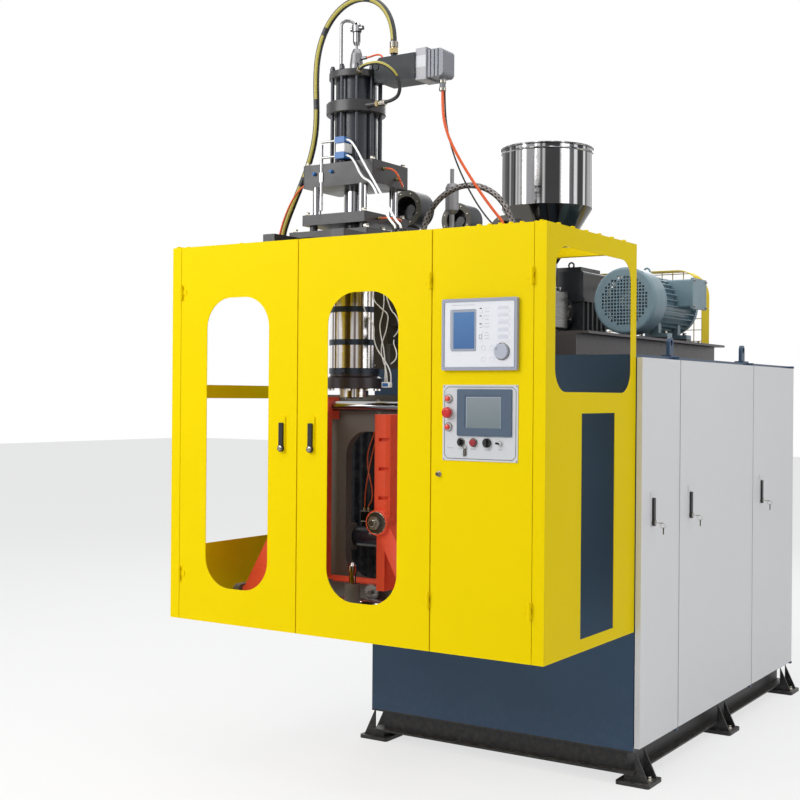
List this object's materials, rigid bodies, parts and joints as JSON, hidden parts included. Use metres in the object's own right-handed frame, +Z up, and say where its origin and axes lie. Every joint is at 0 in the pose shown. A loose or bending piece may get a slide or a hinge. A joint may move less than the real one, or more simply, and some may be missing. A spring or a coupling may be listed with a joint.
{
  "type": "extrusion blow moulding machine",
  "caption": "Blow moulding machine: guarded mould clamp under a vertical parison head and cylinder stack, extruder with hopper and belt drive on a cabinet with side doors.",
  "frame": {"origin": "on the floor, at the centre of the four corner anchor holes", "axes": "+X to the right seen from the guard doors, +Y towards the belt drive, +Z up"},
  "size_m": [1.87, 3.039, 3.324],
  "materials": {
    "guard_yellow": "semi-gloss powder coat",
    "base_blue": "semi-gloss enamel",
    "door_grey": "semi-gloss powder coat",
    "skirt_black": "satin enamel",
    "casting_red": "gloss enamel over casting",
    "motor_teal": "gloss enamel",
    "gear_grey": "semi-gloss enamel",
    "bed_brown": "satin enamel",
    "black_enamel": "gloss enamel",
    "steel": "turned and ground",
    "polished": "polished",
    "stainless": "polished sheet",
    "alloy": "cast and machined",
    "black_plastic": "fine texture",
    "console_plate": "printed film",
    "screen_glass": "smooth",
    "signal_red": "smooth",
    "hose_rubber": "smooth",
    "hose_braid": "woven sleeve",
    "tube_orange": "smooth",
    "sensor_blue": "smooth",
    "belt_rubber": "matt",
    "cabinet_grey": "galvanised"
  },
  "bodies": {
    "machine": {"base_frame": "skirt_black", "body_shell": "base_blue", "hydraulic_unit": "door_grey", "electrical_panel": "cabinet_grey", "guard_frame": "guard_yellow", "head_plate": "gear_grey", "stack_flanges": "black_enamel", "cylinder_tubes": "black_enamel", "cylinder_pillars": "polished", "tie_rods": "black_enamel", "rod_housing": "alloy", "air_swivel": "polished", "servo_manifold": "black_enamel", "servo_valve": "alloy", "position_sensors": "sensor_blue", "die_head": "stainless", "extruder_bed": "bed_brown", "gearbox": "gear_grey", "barrel": "steel", "heater_bands": "stainless", "cooling_blowers": "gear_grey", "hopper": "stainless", "drive_motor": "motor_teal", "drive_belts": "belt_rubber", "belt_guard": "guard_yellow", "clamp_frame": "gear_grey", "guide_bars": "polished", "clamp_ram": "black_enamel", "exhaust_silencer": "alloy", "main_hose": "hose_rubber", "loop_hose": "hose_rubber", "braided_hose": "hose_braid", "air_tube": "tube_orange"},
    "left_guard_door": {"door_left": "guard_yellow"},
    "centre_guard_door": {"door_centre": "guard_yellow"},
    "control_guard_door": {"control_door": "guard_yellow", "upper_console": "console_plate", "operator_panel": "console_plate", "touch_screen": "screen_glass"},
    "left_lever": {"lever_left": "black_plastic"},
    "centre_lever": {"lever_centre": "black_plastic"},
    "jog_knob": {"console_knob": "black_plastic"},
    "stop_button": {"emergency_stop": "signal_red"},
    "start_button": {"start_button": "signal_red"},
    "left_selector": {"selector_left": "black_plastic"},
    "right_selector": {"selector_right": "black_plastic"},
    "front_cabinet_door": {"cabinet_door_front": "door_grey"},
    "middle_cabinet_door": {"cabinet_door_middle": "door_grey"},
    "rear_cabinet_door": {"cabinet_door_rear": "door_grey"},
    "front_cabinet_lever": {"cabinet_lever_front": "black_plastic"},
    "middle_cabinet_lever": {"cabinet_lever_middle": "black_plastic"},
    "rear_cabinet_lever": {"cabinet_lever_rear": "black_plastic"},
    "right_platen": {"platen_right": "casting_red"},
    "left_platen": {"platen_left": "casting_red"},
    "timing_pinion": {"sync_pinion": "steel"},
    "blow_pin_slide": {"blow_pin": "polished"},
    "mandrel_slide": {"mandrel": "polished"},
    "screw_rotor": {"screw": "steel"},
    "motor_rotor": {"motor_pulley": "steel"},
    "input_rotor": {"gearbox_pulley": "steel"}
  },
  "joints": [
    {"name": "left_door_hinge", "type": "hinge", "parent": "machine", "child": "left_guard_door", "pos_m": [-1.096, -1.9275, 1.44], "axis": [0, 0, -1], "range_deg": [0, 110]},
    {"name": "centre_door_hinge", "type": "hinge", "parent": "machine", "child": "centre_guard_door", "pos_m": [0.1635, -1.9275, 1.44], "axis": [0, 0, 1], "range_deg": [0, 110]},
    {"name": "control_door_hinge", "type": "hinge", "parent": "machine", "child": "control_guard_door", "pos_m": [0.596, -1.9275, 1.44], "axis": [0, 0, 1], "range_deg": [0, 110]},
    {"name": "left_lever_turn", "type": "hinge", "parent": "left_guard_door", "child": "left_lever", "pos_m": [-0.5415, -1.93, 1.39], "axis": [0, 1, 0], "range_deg": [0, 90]},
    {"name": "centre_lever_turn", "type": "hinge", "parent": "centre_guard_door", "child": "centre_lever", "pos_m": [-0.3935, -1.93, 1.39], "axis": [0, -1, 0], "range_deg": [0, 90]},
    {"name": "jog_knob_turn", "type": "hinge", "parent": "control_guard_door", "child": "jog_knob", "pos_m": [0.479, -1.94, 1.772], "axis": [0, -1, 0], "continuous": true},
    {"name": "stop_press", "type": "slide", "parent": "control_guard_door", "child": "stop_button", "axis": [0, 1, 0], "range_m": [0, 0.004], "stiffness_N_per_m": 800, "springref_m": -0.002},
    {"name": "start_press", "type": "slide", "parent": "control_guard_door", "child": "start_button", "axis": [0, 1, 0], "range_m": [0, 0.0025], "stiffness_N_per_m": 500, "springref_m": -0.002},
    {"name": "left_selector_turn", "type": "hinge", "parent": "control_guard_door", "child": "left_selector", "pos_m": [0.303, -1.928, 1.436], "axis": [0, 1, 0], "range_deg": [-45, 45]},
    {"name": "right_selector_turn", "type": "hinge", "parent": "control_guard_door", "child": "right_selector", "pos_m": [0.415, -1.928, 1.436], "axis": [0, 1, 0], "range_deg": [-45, 45]},
    {"name": "front_cabinet_hinge", "type": "hinge", "parent": "machine", "child": "front_cabinet_door", "pos_m": [0.668, -0.6605, 0.967], "axis": [0, 0, 1], "range_deg": [0, 110]},
    {"name": "front_cabinet_lever_turn", "type": "hinge", "parent": "front_cabinet_door", "child": "front_cabinet_lever", "pos_m": [0.688, -0.9775, 1.085], "axis": [-1, 0, 0], "range_deg": [0, 90]},
    {"name": "middle_cabinet_hinge", "type": "hinge", "parent": "machine", "child": "middle_cabinet_door", "pos_m": [0.668, 0.3665, 0.967], "axis": [0, 0, 1], "range_deg": [0, 110]},
    {"name": "middle_cabinet_lever_turn", "type": "hinge", "parent": "middle_cabinet_door", "child": "middle_cabinet_lever", "pos_m": [0.688, -0.5355, 1.085], "axis": [-1, 0, 0], "range_deg": [0, 90]},
    {"name": "rear_cabinet_hinge", "type": "hinge", "parent": "machine", "child": "rear_cabinet_door", "pos_m": [0.668, 1.0775, 0.967], "axis": [0, 0, 1], "range_deg": [0, 110]},
    {"name": "rear_cabinet_lever_turn", "type": "hinge", "parent": "rear_cabinet_door", "child": "rear_cabinet_lever", "pos_m": [0.688, 0.4915, 1.085], "axis": [-1, 0, 0], "range_deg": [0, 90]},
    {"name": "clamp_slide", "type": "slide", "parent": "machine", "child": "right_platen", "axis": [1, 0, 0], "range_m": [-0.15, 0]},
    {"name": "clamp_slide_left", "type": "slide", "parent": "machine", "child": "left_platen", "axis": [1, 0, 0], "range_m": [0, 0.15]},
    {"name": "pinion_turn", "type": "hinge", "parent": "machine", "child": "timing_pinion", "pos_m": [-0.466, -1.365, 0.74], "axis": [0, 1, 0], "range_deg": [0, 239]},
    {"name": "blow_pin_lift", "type": "slide", "parent": "machine", "child": "blow_pin_slide", "axis": [0, 0, 1], "range_m": [0, 0.06]},
    {"name": "mandrel_stroke", "type": "slide", "parent": "machine", "child": "mandrel_slide", "axis": [0, 0, 1], "range_m": [-0.02, 0]},
    {"name": "screw_turn", "type": "hinge", "parent": "machine", "child": "screw_rotor", "pos_m": [-0.466, 0, 2.07], "axis": [0, 1, 0], "continuous": true},
    {"name": "motor_turn", "type": "hinge", "parent": "machine", "child": "motor_rotor", "pos_m": [0.09, 0.885, 2.107], "axis": [0, 1, 0], "continuous": true},
    {"name": "input_turn", "type": "hinge", "parent": "machine", "child": "input_rotor", "pos_m": [-0.466, 0.885, 2.15], "axis": [0, 1, 0], "continuous": true}
  ],
  "couplings": [
    {"joint": "clamp_slide_left", "follows": "clamp_slide", "ratio": -1},
    {"joint": "pinion_turn", "follows": "clamp_slide", "rad_per_m": -27.778},
    {"joint": "input_turn", "follows": "screw_turn", "ratio": 10},
    {"joint": "motor_turn", "follows": "screw_turn", "ratio": 20}
  ]
}
